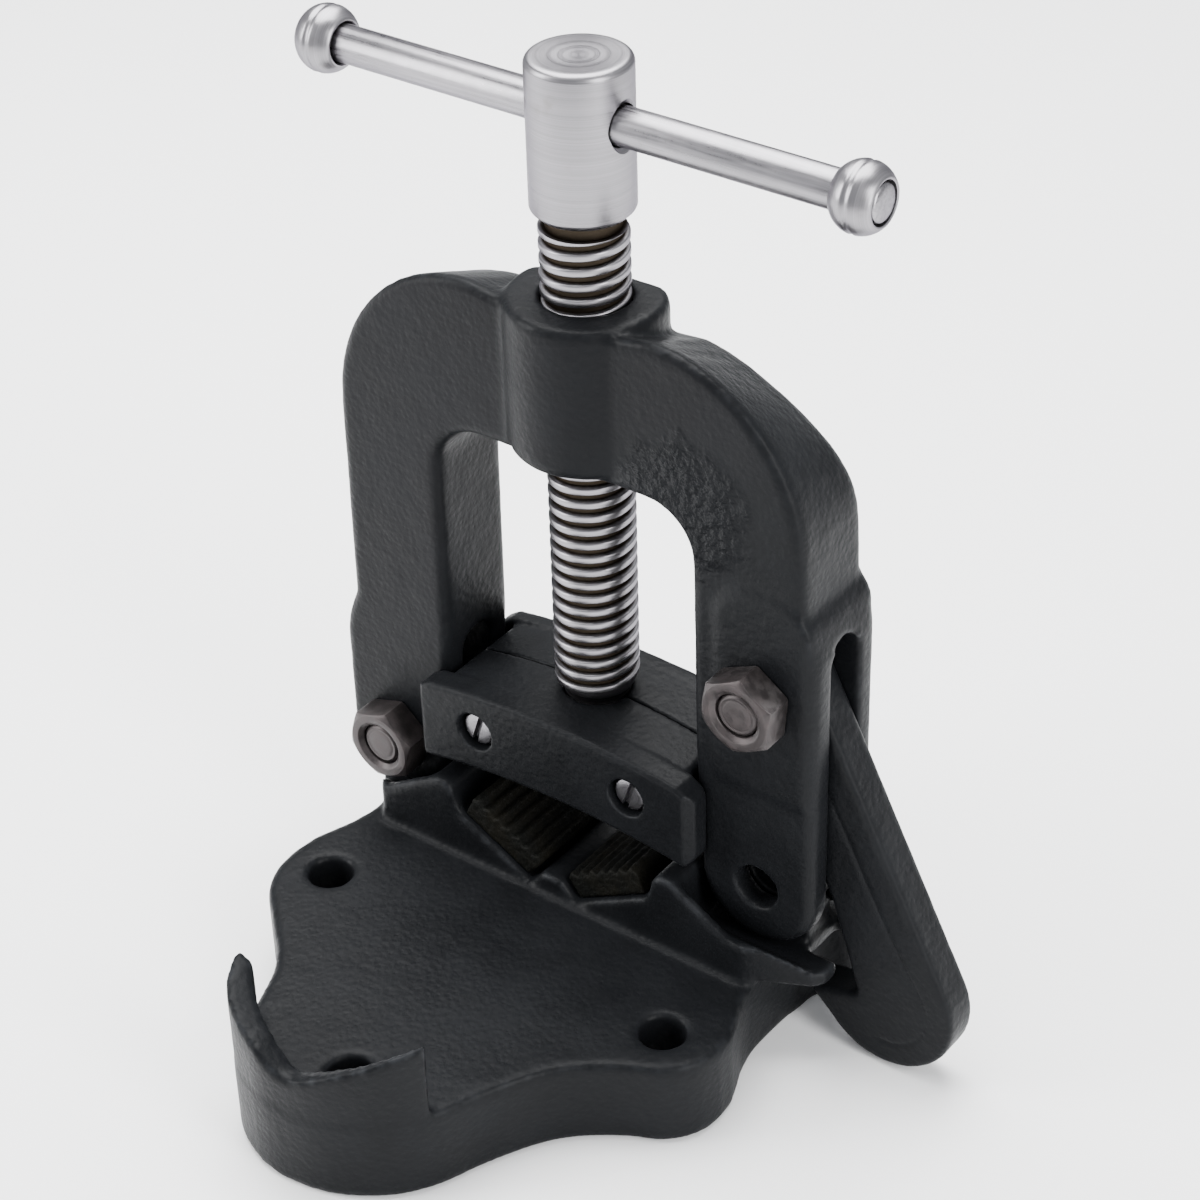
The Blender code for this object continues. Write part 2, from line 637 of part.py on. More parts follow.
def make_lower_jaw(side, name):
    """A hardened block on the sloping seat, with teeth across the pipe."""
    top = PLATE_TOP
    slope = Vector((31 - 7.2, 13.0)).normalized()
    normal = Vector((-slope.y, slope.x))
    foot = Vector((7.4, top + 0.8)) + slope * 1.6 + normal * GAP
    length = 23.6
    thick = 7.8
    inner_top = foot + normal * thick - slope * 1.2
    outer_top = foot + slope * (length + 0.4) + normal * thick
    outline = [tuple(foot), tuple(foot + slope * length)]
    outline += [tuple(outer_top - normal * TOOTH_DEPTH)]
    outline += serrated(outer_top, inner_top, 7, -TOOTH_DEPTH)
    outline += [tuple(inner_top - normal * TOOTH_DEPTH)]
    outline = [(side * x, z) for x, z in outline]
    jaw = prism("lower_jaw_" + name, outline, -LOWER_JAW_HALF_DEPTH, LOWER_JAW_HALF_DEPTH)
    at = (side * JAW_SCREW_X, 0)
    cut(jaw, rod("jaw_thread_" + name, 3.3, 0, top + 12.2, at, "Z", 20))
    return as_part(jaw, HARD_JAW)


def make_lower_jaw_screw(side, name):
    """A cap screw from under the base that holds a lower jaw on its seat."""
    at = (side * JAW_SCREW_X, 0)
    roof = PLATE_TOP - PLATE_THICK
    screw = rod("lower_jaw_screw_" + name, 4.6, roof - GAP - 4.5, roof - GAP, at, "Z", 24)
    join(screw, rod("jaw_shank_" + name, 2.9, roof - 2, PLATE_TOP + 11.6, at, "Z", 20))
    cut(screw, rod("key_socket_" + name, 2.3, 0, roof - 2.6, at, "Z", 6))
    return as_part(screw, BLACK_OXIDE)


def make_upper_jaw():
    """The toothed block under the sliding jaw, hollowed to a shallow vee."""
    ceiling = PLATE_TOP + 35.5
    ends = PLATE_TOP + 27.2
    middle = PLATE_TOP + 30.4
    half = UPPER_JAW_HALF
    outline = [(half, ceiling), (-half, ceiling), (-half, ends + TOOTH_DEPTH)]
    outline += serrated((-half, ends), (0, middle), 7, -TOOTH_DEPTH)
    outline.append((0, middle + TOOTH_DEPTH))
    outline += serrated((0, middle), (half, ends), 7, -TOOTH_DEPTH)
    outline.append((half, ends + TOOTH_DEPTH))
    jaw = prism("upper_jaw", outline, -UPPER_JAW_HALF_DEPTH, UPPER_JAW_HALF_DEPTH)
    return as_part(jaw, HARD_JAW)


def main():
    make_base()
    make_yoke()
    make_bolt("hinge_bolt", LEG_HALF_DEPTH, -LEG_X, HINGE_Z, 12)
    make_nut("hinge_nut", LEG_HALF_DEPTH, -LEG_X, HINGE_Z, 12)
    make_bolt("hook_bolt", PAD_HALF_DEPTH, LEG_X, HOOK_Z, 5)
    make_nut("hook_nut", PAD_HALF_DEPTH, LEG_X, HOOK_Z, 5)
    make_hook()
    make_spindle()
    make_bar()
    make_upper_jaw()
    make_carrier_half(-1, "front")
    make_carrier_half(1, "back")
    for side, name in ((-1, "left"), (1, "right")):
        make_knob(side, name)
        make_carrier_screw(side, name)
        make_lower_jaw(side, name)
        make_lower_jaw_screw(side, name)
    bpy.context.view_layer.update()


main()
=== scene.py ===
"""Bench yoke pipe vise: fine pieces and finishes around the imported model, on a plain pale stage.

X runs across the yoke (hinge at -X, latch hook at +X), Y along the pipe (horn at -Y), Z up.
Lengths are in metres. Profiles of turned pieces, the values that build them and names that end
in _mm are in millimetres.
"""
import json
from math import cos, pi, radians, sin

import bpy
from bpy.props import FloatProperty, FloatVectorProperty, IntProperty, PointerProperty
from mathutils import Matrix, Vector


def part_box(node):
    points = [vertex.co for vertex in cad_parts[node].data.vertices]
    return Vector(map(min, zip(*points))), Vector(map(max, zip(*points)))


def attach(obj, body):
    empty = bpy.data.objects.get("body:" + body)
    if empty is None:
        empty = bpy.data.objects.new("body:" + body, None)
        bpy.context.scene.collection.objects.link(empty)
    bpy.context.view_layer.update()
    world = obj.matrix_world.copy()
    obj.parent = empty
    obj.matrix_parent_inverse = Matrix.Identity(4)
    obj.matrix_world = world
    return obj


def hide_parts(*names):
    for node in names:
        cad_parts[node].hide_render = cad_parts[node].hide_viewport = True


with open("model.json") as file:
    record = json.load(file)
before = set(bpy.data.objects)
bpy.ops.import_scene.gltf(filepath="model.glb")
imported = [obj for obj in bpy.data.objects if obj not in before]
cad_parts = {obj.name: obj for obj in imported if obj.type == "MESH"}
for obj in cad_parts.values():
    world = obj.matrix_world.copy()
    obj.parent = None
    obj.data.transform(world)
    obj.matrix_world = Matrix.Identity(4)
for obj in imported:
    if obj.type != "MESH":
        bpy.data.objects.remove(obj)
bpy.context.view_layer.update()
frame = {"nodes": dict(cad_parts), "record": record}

bl_info = {
    "name": "Bench yoke pipe vise",
    "version": (1, 0, 0),
    "blender": (4, 5, 0),
    "location": "3D View > Sidebar > Vise",
    "description": "Models the pieces and finishes of a bench pipe vise",
    "category": "Add Mesh",
}

MM = 0.001
MOUNTS = {mount["name"]: mount for mount in frame["record"]["mounts"]}
PLATE_TOP = MOUNTS["plate_face"]["pos_m"][2]


def middle_of(node):
    low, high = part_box(node)
    return (Vector(low) + Vector(high)) / 2


BAR_Z = middle_of("tommy_bar").z


# ---- sizes and colours that a user would change ------------------------------------------------

class ViseSizes(bpy.types.PropertyGroup):
    cast_grain: FloatProperty(name="Casting voxel", description="Grid of the softened castings",
                              default=0.00095, unit="LENGTH", precision=5)
    jaw_grain: FloatProperty(name="Jaw voxel", description="Grid of the rough jaw inserts",
                             default=0.00045, unit="LENGTH", precision=5)
    pitch: FloatProperty(name="Thread pitch", description="Rise of the screw in one turn",
                         default=0.004, unit="LENGTH", precision=4)
    thread_depth: FloatProperty(name="Thread depth", description="From crest to root",
                                default=0.00135, unit="LENGTH", precision=5)
    around: IntProperty(name="Steps round", description="Steps round a turned piece", default=96)
    rim: FloatProperty(name="Head rim", description="Rounding of the screw head's upper rim",
                       default=0.0019, unit="LENGTH", precision=5)
    casting_wave: FloatProperty(name="Casting waviness",
                                description="Height of the sand-cast waves",
                                default=0.00016, unit="LENGTH", precision=6)


class ViseColours(bpy.types.PropertyGroup):
    casting: FloatVectorProperty(name="Casting", description="Black enamel", subtype="COLOR",
                                 size=3, min=0, max=1, default=(0.0050, 0.0054, 0.0062))
    steel: FloatVectorProperty(name="Bright steel", description="Turned steel", subtype="COLOR",
                               size=3, min=0, max=1, default=(0.27, 0.262, 0.276))
    # painted shade: the dark colour put into the screw's thread roots
    oil_and_root_shade: FloatVectorProperty(name="Shaded root", description="Thread roots", subtype="COLOR", size=3,
                             min=0, max=1, default=(0.032, 0.025, 0.018))
    oxide: FloatVectorProperty(name="Black oxide", description="Nuts and bolts", subtype="COLOR",
                               size=3, min=0, max=1, default=(0.040, 0.035, 0.035))
    jaw: FloatVectorProperty(name="Jaw steel", description="Hardened jaws", subtype="COLOR", size=3,
                             min=0, max=1, default=(0.0032, 0.0034, 0.0028))
    floor: FloatVectorProperty(name="Floor", description="Stage floor", subtype="COLOR", size=3,
                               min=0, max=1, default=(0.97, 0.97, 0.972))


def sizes():
    return bpy.context.scene.vise_sizes


def colours():
    return bpy.context.scene.vise_colours


# ---- modelling helpers -------------------------------------------------------------------------

def take(*objs):
    """Select only these objects; the first is the active one."""
    if bpy.context.object is not None and bpy.context.object.mode != "OBJECT":
        bpy.ops.object.mode_set(mode="OBJECT")
    bpy.ops.object.select_all(action="DESELECT")
    for obj in objs:
        obj.select_set(True)
    bpy.context.view_layer.objects.active = objs[0]
    return objs[0]


def clear_selection():
    bpy.ops.object.select_all(action="DESELECT")
    bpy.context.view_layer.objects.active = None


def newly_added(name):
    obj = bpy.context.object
    obj.name = name
    obj.data.name = name
    return obj


def edit(obj):
    take(obj)
    bpy.ops.object.mode_set(mode="EDIT")
    bpy.ops.mesh.select_all(action="SELECT")


def leave_edit():
    bpy.ops.object.mode_set(mode="OBJECT")


def apply_place(obj):
    take(obj)
    bpy.ops.object.transform_apply(location=True, rotation=True, scale=True)
    return obj


def apply_modifiers(obj):
    take(obj)
    for modifier in list(obj.modifiers):
        bpy.ops.object.modifier_apply(modifier=modifier.name)
    return obj


def smooth(obj, angle=35):
    take(obj)
    bpy.ops.object.shade_smooth_by_angle(angle=radians(angle))
    return obj


def tidy_mesh(obj, merge=2e-6):
    edit(obj)
    bpy.ops.mesh.remove_doubles(threshold=merge)
    bpy.ops.mesh.normals_make_consistent(inside=False)
    leave_edit()
    return obj


def turned(name, profile_mm, steps=None, axis="Z", at=(0, 0, 0)):
    """Spin a profile of (radius, height) points about its own axis, then lay it on the world's."""
    clear_selection()
    bpy.ops.mesh.primitive_plane_add(size=0.001, location=(0, 0, 0))
    obj = newly_added(name)
    edit(obj)
    bpy.ops.mesh.merge(type="CENTER")
    here = Vector((0, 0, 0))
    for radius, height in profile_mm:
        there = Vector((radius, 0, height)) * MM
        step = there - here
        if (radius, height) == profile_mm[0]:
            bpy.ops.transform.translate(value=step)
        else:
            bpy.ops.mesh.extrude_region_move(TRANSFORM_OT_translate={"value": step})
        here = there
    bpy.ops.mesh.select_all(action="SELECT")
    bpy.ops.mesh.spin(steps=steps or sizes().around, angle=2 * pi, center=(0, 0, 0), axis=(0, 0, 1))
    leave_edit()
    tidy_mesh(obj, 1e-6)
    if axis == "X":
        obj.rotation_euler = (0, pi / 2, 0)
    elif axis == "-X":
        obj.rotation_euler = (0, -pi / 2, 0)
    obj.location = at
    return apply_place(obj)


def boolean(obj, tool, operation="DIFFERENCE"):
    modifier = obj.modifiers.new(operation.lower(), "BOOLEAN")
    modifier.operation = operation
    modifier.solver = "EXACT"
    modifier.object = tool
    apply_modifiers(obj)
    bpy.data.objects.remove(tool, do_unlink=True)
    return obj


def join(obj, *others):
    take(obj, *others)
    bpy.ops.object.join()
    return obj


def bevelled(obj, width, segments=2, angle=40):
    modifier = obj.modifiers.new("edges", "BEVEL")
    modifier.width = width
    modifier.segments = segments
    modifier.limit_method = "ANGLE"
    modifier.angle_limit = radians(angle)
    return apply_modifiers(obj)


def copy_of(node, name):
    """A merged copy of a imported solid, to be softened into the real surface."""
    obj = bpy.data.objects.new(name, frame["nodes"][node].data.copy())
    obj.data.name = name
    obj.data.materials.clear()
    bpy.context.scene.collection.objects.link(obj)
    edit(obj)
    bpy.ops.mesh.remove_doubles(threshold=2e-6)
    leave_edit()
    return obj


def soften(obj, voxel, rounds, wave=0.0, wave_size=0.006):
    """Remesh a sharp solid and relax it, so that inner and outer corners become cast fillets."""
    remesh = obj.modifiers.new("even_grid", "REMESH")
    remesh.mode = "VOXEL"
    remesh.voxel_size = voxel
    relax = obj.modifiers.new("fillets", "SMOOTH")
    relax.factor = 0.5
    relax.iterations = rounds
    if wave:
        texture = bpy.data.textures.new(obj.name + "_wave", "CLOUDS")
        texture.noise_scale = wave_size
        texture.noise_depth = 1
        waves = obj.modifiers.new("waves", "DISPLACE")
        waves.texture = texture
        waves.texture_coords = "LOCAL"
        waves.strength = wave
        waves.mid_level = 0.5
    apply_modifiers(obj)
    take(obj)
    bpy.ops.object.shade_smooth()
    return obj


def finish_piece(obj, material, body, slot_name, *nodes):
    obj.data.materials.clear()
    obj.data.materials.append(material)
    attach(obj, body)
    if nodes:
        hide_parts(*nodes)
    return obj


# ---- materials ---------------------------------------------------------------------------------

class Finish:
    """A material's node tree, with short calls for the nodes that the finishes share."""

    def __init__(self, name):
        self.material = bpy.data.materials.new(name)
        self.material.use_nodes = True
        self.tree = self.material.node_tree
        self.shader = self.tree.nodes["Principled BSDF"]
        self.place = self.node("ShaderNodeTexCoord").outputs["Object"]

    def node(self, kind, **settings):
        made = self.tree.nodes.new(kind)
        for key, value in settings.items():
            setattr(made, key, value)
        return made

    def link(self, start, end):
        self.tree.links.new(start, end)

    def moved(self, at=(0, 0, 0), scale=(1, 1, 1)):
        mapping = self.node("ShaderNodeMapping")
        mapping.inputs["Location"].default_value = at
        mapping.inputs["Scale"].default_value = scale
        self.link(self.place, mapping.inputs["Vector"])
        return mapping.outputs["Vector"]

    def noise(self, scale, detail=3.0, rough=0.55, source=None):
        noise = self.node("ShaderNodeTexNoise")
        noise.inputs["Scale"].default_value = scale
        noise.inputs["Detail"].default_value = detail
        noise.inputs["Roughness"].default_value = rough
        self.link(source or self.place, noise.inputs["Vector"])
        return noise.outputs["Fac"]

    def cells(self, scale):
        cells = self.node("ShaderNodeTexVoronoi", feature="SMOOTH_F1")
        cells.inputs["Scale"].default_value = scale
        self.link(self.place, cells.inputs["Vector"])
        return cells.outputs["Distance"]

    def spread(self, value, low, high, to_low, to_high):
        spread = self.node("ShaderNodeMapRange")
        spread.interpolation_type = "SMOOTHSTEP"
        for socket, number in (("From Min", low), ("From Max", high),
                               ("To Min", to_low), ("To Max", to_high)):
            spread.inputs[socket].default_value = number
        self.link(value, spread.inputs["Value"])
        return spread.outputs["Result"]

    def maths(self, operation, first, second=None):
        node = self.node("ShaderNodeMath", operation=operation)
        for socket, value in zip(node.inputs, (first, second)):
            if value is None:
                continue
            if isinstance(value, (int, float)):
                socket.default_value = value
            else:
                self.link(value, socket)
        return node.outputs[0]

    def blend(self, amount, first, second):
        mix = self.node("ShaderNodeMix", data_type="RGBA")
        self.link(amount, mix.inputs["Factor"])
        for socket, value in ((mix.inputs[6], first), (mix.inputs[7], second)):
            if isinstance(value, (tuple, list)):
                socket.default_value = (*value[:3], 1.0)
            else:
                self.link(value, socket)
        return mix.outputs[2]

    def bump(self, height, strength, distance, under=None):
        bump = self.node("ShaderNodeBump")
        bump.inputs["Strength"].default_value = strength
        bump.inputs["Distance"].default_value = distance
        self.link(height, bump.inputs["Height"])
        if under is not None:
            self.link(under, bump.inputs["Normal"])
        return bump.outputs["Normal"]

    def worn_edges(self, low=0.515, high=0.56):
        geometry = self.node("ShaderNodeNewGeometry")
        return self.spread(geometry.outputs["Pointiness"], low, high, 0.0, 1.0)

    def around(self, centre, axis):
        """(distance from an axis, place along it) for marks that a lathe leaves."""
        parts = self.node("ShaderNodeSeparateXYZ")
        self.link(self.moved(tuple(-c for c in centre)), parts.inputs[0])
        x, y, z = parts.outputs
        across, along = {"X": ((y, z), x), "Y": ((x, z), y), "Z": ((x, y), z)}[axis]
        square = self.maths("ADD", self.maths("MULTIPLY", across[0], across[0]),
                            self.maths("MULTIPLY", across[1], across[1]))
        return self.maths("SQRT", square), along

    def pair(self, first, second):
        pair = self.node("ShaderNodeCombineXYZ")
        self.link(first, pair.inputs[0])
        self.link(second, pair.inputs[1])
        return pair.outputs[0]

    def set(self, socket, value):
        if isinstance(value, (int, float)):
            self.shader.inputs[socket].default_value = value
        elif isinstance(value, (tuple, list)):
            self.shader.inputs[socket].default_value = (*value[:3], 1.0)
        else:
            self.link(value, self.shader.inputs[socket])


def casting_finish(name, rough_patch=None):
    """Black enamel over a sand casting: orange peel, and edges rubbed a little lighter."""
    f = Finish(name)
    colour = tuple(colours().casting)
    peel = f.cells(640)
    grain = f.noise(1300, 4, 0.6)
    patches = f.noise(38, 4, 0.6)
    height = f.maths("ADD", peel, f.maths("MULTIPLY", grain, 0.55))
    normal = f.bump(height, 0.4, 0.00032)
    if rough_patch is not None:
        centre, radius = rough_patch
        away = f.node("ShaderNodeVectorMath", operation="DISTANCE")
        f.link(f.place, away.inputs[0])
        away.inputs[1].default_value = centre
        edge = f.maths("ADD", away.outputs["Value"], f.maths("MULTIPLY", f.noise(160), 0.012))
        mask = f.spread(edge, radius * 0.75, radius * 1.3, 1.0, 0.0)
        lumps = f.maths("MULTIPLY", f.noise(430, 3, 0.5), mask)
        normal = f.bump(lumps, 1.0, 0.0022, normal)
    f.set("Normal", normal)
    rubbed = f.maths("MULTIPLY", f.worn_edges(), f.spread(f.noise(240, 4), 0.42, 0.62, 0.0, 1.0))
    lighter = tuple(c * 2.6 + 0.003 for c in colour)
    duller = tuple(c * 1.35 for c in colour)
    base = f.blend(f.spread(patches, 0.35, 0.7, 0.0, 1.0), colour, duller)
    f.set("Base Color", f.blend(rubbed, base, lighter))
    f.set("Roughness", f.spread(f.maths("ADD", patches, f.maths("MULTIPLY", grain, 0.5)),
                                0.4, 1.0, 0.34, 0.48))
    f.set("IOR", 1.25)
    f.set("Specular IOR Level", 0.25)
    return f.material


STEEL_EDGE_TINT = (0.45, 0.44, 0.47)


def turned_steel(name, centre, axis, root_shade_below=None):
    """Bare turned steel: rings from the lathe, and painted shade darkening the thread roots below
    the radii in root_shade_below (dark, bare).
    """
    f = Finish(name)
    steel = tuple(colours().steel)
    radius, along = f.around(centre, axis)
    rings = f.noise(5200, 5, 0.7, f.pair(radius, along))
    broad = f.noise(900, 3, 0.6, f.pair(radius, along))
    stains = f.noise(110, 5, 0.6)
    marks = f.maths("ADD", f.maths("MULTIPLY", rings, 0.7), f.maths("MULTIPLY", broad, 0.4))
    tone = f.blend(f.spread(marks, 0.4, 0.75, 0.0, 1.0), tuple(c * 0.8 for c in steel),
                   tuple(min(1.0, c * 1.14) for c in steel))
    tone = f.blend(f.spread(stains, 0.6, 0.78, 0.0, 0.35), tone, (0.13, 0.112, 0.092))
    rough = f.spread(f.maths("ADD", marks, f.maths("MULTIPLY", stains, 0.25)),
                     0.4, 0.95, 0.24, 0.44)
    # painted shade: below these radii the thread roots are darkened to the root colour and made
    # rougher
    if root_shade_below is not None:
        low, high = root_shade_below
        wander = f.maths("ADD", radius, f.maths("MULTIPLY", f.noise(420, 4), 0.0006))
        bare = f.spread(wander, low + 0.0003, high + 0.0003, 0.0, 1.0)
        tone = f.blend(bare, tuple(colours().oil_and_root_shade), tone)
        rough = f.maths("SUBTRACT", 0.55, f.maths("MULTIPLY", bare, 0.24))
    f.set("Base Color", tone)
    f.set("Roughness", rough)
    f.set("Metallic", 1.0)
    f.set("Specular Tint", STEEL_EDGE_TINT)
    f.set("Anisotropic", 0.35)
    f.set("Normal", f.bump(marks, 0.3, 0.00004, f.bump(stains, 0.15, 0.0001)))
    return f.material


def drawn_steel(name):
    """The T bar: streaks along its length and small scuffs."""
    f = Finish(name)
    steel = tuple(colours().steel)
    streaks = f.noise(900, 5, 0.65, f.moved(scale=(0.03, 1, 1)))
    scuffs = f.noise(260, 5, 0.7)
    tone = f.blend(f.spread(streaks, 0.35, 0.68, 0.0, 1.0), tuple(c * 0.82 for c in steel),
                   tuple(min(1.0, c * 1.12) for c in steel))
    tone = f.blend(f.spread(scuffs, 0.62, 0.75, 0.0, 0.3), tone, (0.14, 0.125, 0.115))
    f.set("Base Color", tone)
    f.set("Roughness", f.spread(f.maths("ADD", streaks, f.maths("MULTIPLY", scuffs, 0.4)),
                                0.45, 0.95, 0.24, 0.42))
    f.set("Metallic", 1.0)
    f.set("Specular Tint", STEEL_EDGE_TINT)
    f.set("Normal", f.bump(streaks, 0.25, 0.00005, f.bump(scuffs, 0.12, 0.0001)))
    return f.material


def oxide_finish(name):
    """Black oxide with a brown cast, mottled, its corners rubbed towards bare steel."""
    f = Finish(name)
    colour = tuple(colours().oxide)
    mottle = f.noise(330, 5, 0.65)
    grain = f.noise(2100, 4, 0.6)
    base = f.blend(f.spread(mottle, 0.38, 0.66, 0.0, 1.0), colour,
                   (colour[0] * 1.35, colour[1] * 1.3, colour[2] * 1.3))
    rubbed = f.maths("MULTIPLY", f.worn_edges(0.53, 0.6), f.spread(mottle, 0.4, 0.6, 0.2, 1.0))
    f.set("Base Color", f.blend(rubbed, base, (0.10, 0.092, 0.092)))
    f.set("Metallic", 0.75)
    f.set("Roughness", f.spread(mottle, 0.3, 0.7, 0.36, 0.52))
    f.set("Normal", f.bump(grain, 0.3, 0.00012, f.bump(mottle, 0.25, 0.0003)))
    return f.material


def jaw_finish(name):
    """Hardened jaw steel: nearly black, oily brown in places, with a coarse broken grain."""
    f = Finish(name)
    colour = tuple(colours().jaw)
    lumps = f.noise(420, 5, 0.65)
    grain = f.noise(1700, 4, 0.7)
    oil_and_root_shade = f.noise(70, 4, 0.6)
    base = f.blend(f.spread(oil_and_root_shade, 0.4, 0.65, 0.0, 1.0), colour,
                   (colour[0] * 1.9, colour[1] * 1.6, colour[2] * 1.25))
    rubbed = f.maths("MULTIPLY", f.worn_edges(0.52, 0.6), f.spread(lumps, 0.45, 0.62, 0.0, 0.8))
    f.set("Base Color", f.blend(rubbed, base, (0.016, 0.016, 0.0135)))
    f.set("Specular IOR Level", 0.08)
    f.set("Roughness", f.spread(lumps, 0.3, 0.7, 0.5, 0.72))
    f.set("Normal", f.bump(grain, 0.6, 0.0004, f.bump(lumps, 0.8, 0.0009)))
    return f.material


# ---- castings ----------------------------------------------------------------------------------

def make_base():
    base = soften(copy_of("base_casting", "cast_base"), sizes().cast_grain * 1.15, 5,
                  sizes().casting_wave)
    return finish_piece(base, casting_finish("base_enamel"), "base", "black_casting_paint",
                        "base_casting")


ROUGH_PATCH_CENTRE = (0.037, -0.0133, PLATE_TOP + 0.130)      # on the front of the right arm
ROUGH_PATCH_RADIUS = 0.021


def make_yoke():
    yoke = soften(copy_of("yoke", "cast_yoke"), sizes().cast_grain, 9, sizes().casting_wave)
    enamel = casting_finish("yoke_enamel", (ROUGH_PATCH_CENTRE, ROUGH_PATCH_RADIUS))
    return finish_piece(yoke, enamel, "yoke", "black_casting_paint", "yoke")


GROOVE_RADIUS = 0.0008             # of its round section
GROOVE_CURL = 0.0125               # radius of the curl round the foot
GROOVE_FOOT = 0.0198               # the curl's centre, in from the hook's box
GROOVE_START = (0.030, 0.0048)     # down the leg from the eye, and out from its middle
GROOVE_BEND = (0.012, 0.0105)      # up the leg from the foot, and out from its middle


def hook_groove(hook_box):
    """A shallow groove beside the hook's outer edge, which curls round its foot."""
    low, high = (Vector(corner) for corner in hook_box)
    foot = Vector((high.x - GROOVE_FOOT, 0, low.z + GROOVE_FOOT))
    bolt = middle_of("hook_bolt")
    eye = Vector((bolt.x, 0, bolt.z))
    lean = (foot - eye).normalized()
    out = Vector((-lean.z, 0, lean.x))
    points = [eye + lean * GROOVE_START[0] + out * GROOVE_START[1],
              foot - lean * GROOVE_BEND[0] + out * GROOVE_BEND[1]]
    turn = [radians(10 - 16 * k) for k in range(9)]
    points += [foot + out * (GROOVE_CURL * cos(a)) + lean * (-GROOVE_CURL * sin(a)) for a in turn]
    curve = bpy.data.curves.new("hook_groove", "CURVE")
    curve.dimensions = "3D"
    curve.bevel_depth = GROOVE_RADIUS
    curve.bevel_resolution = 2
    curve.use_fill_caps = True
    spline = curve.splines.new("BEZIER")
    spline.bezier_points.add(len(points) - 1)
    for knot, point in zip(spline.bezier_points, points):
        knot.co = (point.x, low.y - 0.0003, point.z)
        knot.handle_left_type = "AUTO"
        knot.handle_right_type = "AUTO"
    spline.resolution_u = 6
    groove = bpy.data.objects.new("hook_groove", curve)
    bpy.context.scene.collection.objects.link(groove)
    take(groove)
    bpy.ops.object.convert(target="MESH")
    return tidy_mesh(bpy.context.object)


def make_hook():
    hook = copy_of("hook", "cast_hook")
    boolean(hook, hook_groove(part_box("hook")))
    soften(hook, sizes().cast_grain * 0.62, 4, sizes().casting_wave)
    return finish_piece(hook, casting_finish("hook_enamel"), "hook", "black_casting_paint", "hook")


def make_carriers():
    enamel = casting_finish("sliding_jaw_enamel")
    for side in ("front", "back"):
        node = "jaw_carrier_" + side
        piece = soften(copy_of(node, "cast_carrier_" + side), sizes().cast_grain * 0.55, 3,
                       sizes().casting_wave * 0.7)
        finish_piece(piece, enamel, "sliding_jaw", "black_casting_paint", node)


# ---- jaw inserts -------------------------------------------------------------------------------

JAW_WAVE = 0.00042                 # height and spacing of the broken edges
JAW_WAVE_SIZE = 0.0016


def make_jaws():
    steel = jaw_finish("hardened_jaw")
    for node, body in (("lower_jaw_left", "base"), ("lower_jaw_right", "base"),
                       ("upper_jaw", "sliding_jaw")):
        piece = soften(copy_of(node, "toothed_" + node), sizes().jaw_grain, 1, JAW_WAVE,
                       JAW_WAVE_SIZE)
        finish_piece(piece, steel, body, "hardened_jaw_steel", node)


# ---- screw, bar and knobs ----------------------------------------------------------------------

HELIX_STEPS = 72                   # in one turn
HEAD_RADIUS_MM = 12.8
HEAD_HEIGHT_MM = 39.0
CREST_RADIUS_MM = 11.0
NECK_RADIUS_MM = 8.6
COLLAR_RADIUS_MM = 10.2
COLLAR_HEIGHT_MM = 6.6
HOLE_RADIUS_MM = 5.2
HOLE_MOUTH_RADIUS_MM = 7.6
HOLE_MOUTH_MM = 13.4               # from the screw's axis to where the mouth ends
THREAD_START_UP = 0.0590           # above the plate's top


def screw_thread(bottom, top, crest):
    """A right-hand helix: one pitch of profile, screwed up and trimmed flat at both ends."""
    pitch = sizes().pitch / MM
    root = crest - sizes().thread_depth / MM
    profile = [(root, 0.0), (root, 0.19), (crest - 0.34, 0.28), (crest - 0.07, 0.32), (crest, 0.38),
               (crest, 0.68), (crest - 0.07, 0.74), (crest - 0.34, 0.78), (root, 0.87), (root, 1.0)]
    clear_selection()
    bpy.ops.mesh.primitive_plane_add(size=0.001)
    thread = newly_added("thread")
    edit(thread)
    bpy.ops.mesh.merge(type="CENTER")
    start = bottom - sizes().pitch
    here = Vector((0, 0, 0))
    for k, (radius, part) in enumerate(profile):
        there = Vector((radius * MM, 0, start + part * pitch * MM))
        if k == 0:
            bpy.ops.transform.translate(value=there)
        else:
            bpy.ops.mesh.extrude_region_move(TRANSFORM_OT_translate={"value": there - here})
        here = there
    leave_edit()
    turns = int((top - bottom) / sizes().pitch) + 3
    screw = thread.modifiers.new("helix", "SCREW")
    screw.steps = HELIX_STEPS
    screw.render_steps = HELIX_STEPS
    screw.screw_offset = sizes().pitch
    screw.iterations = turns
    screw.use_merge_vertices = True
    screw.merge_threshold = 1e-6
    apply_modifiers(thread)
    tidy_mesh(thread, 1e-6)
    for height, keep_above in ((bottom, True), (top, False)):
        edit(thread)
        bpy.ops.mesh.bisect(plane_co=(0, 0, height), plane_no=(0, 0, 1), use_fill=True,
                            clear_inner=keep_above, clear_outer=not keep_above)
        leave_edit()
    edit(thread)
    bpy.ops.mesh.normals_make_consistent(inside=False)
    leave_edit()
    return smooth(thread, 50)


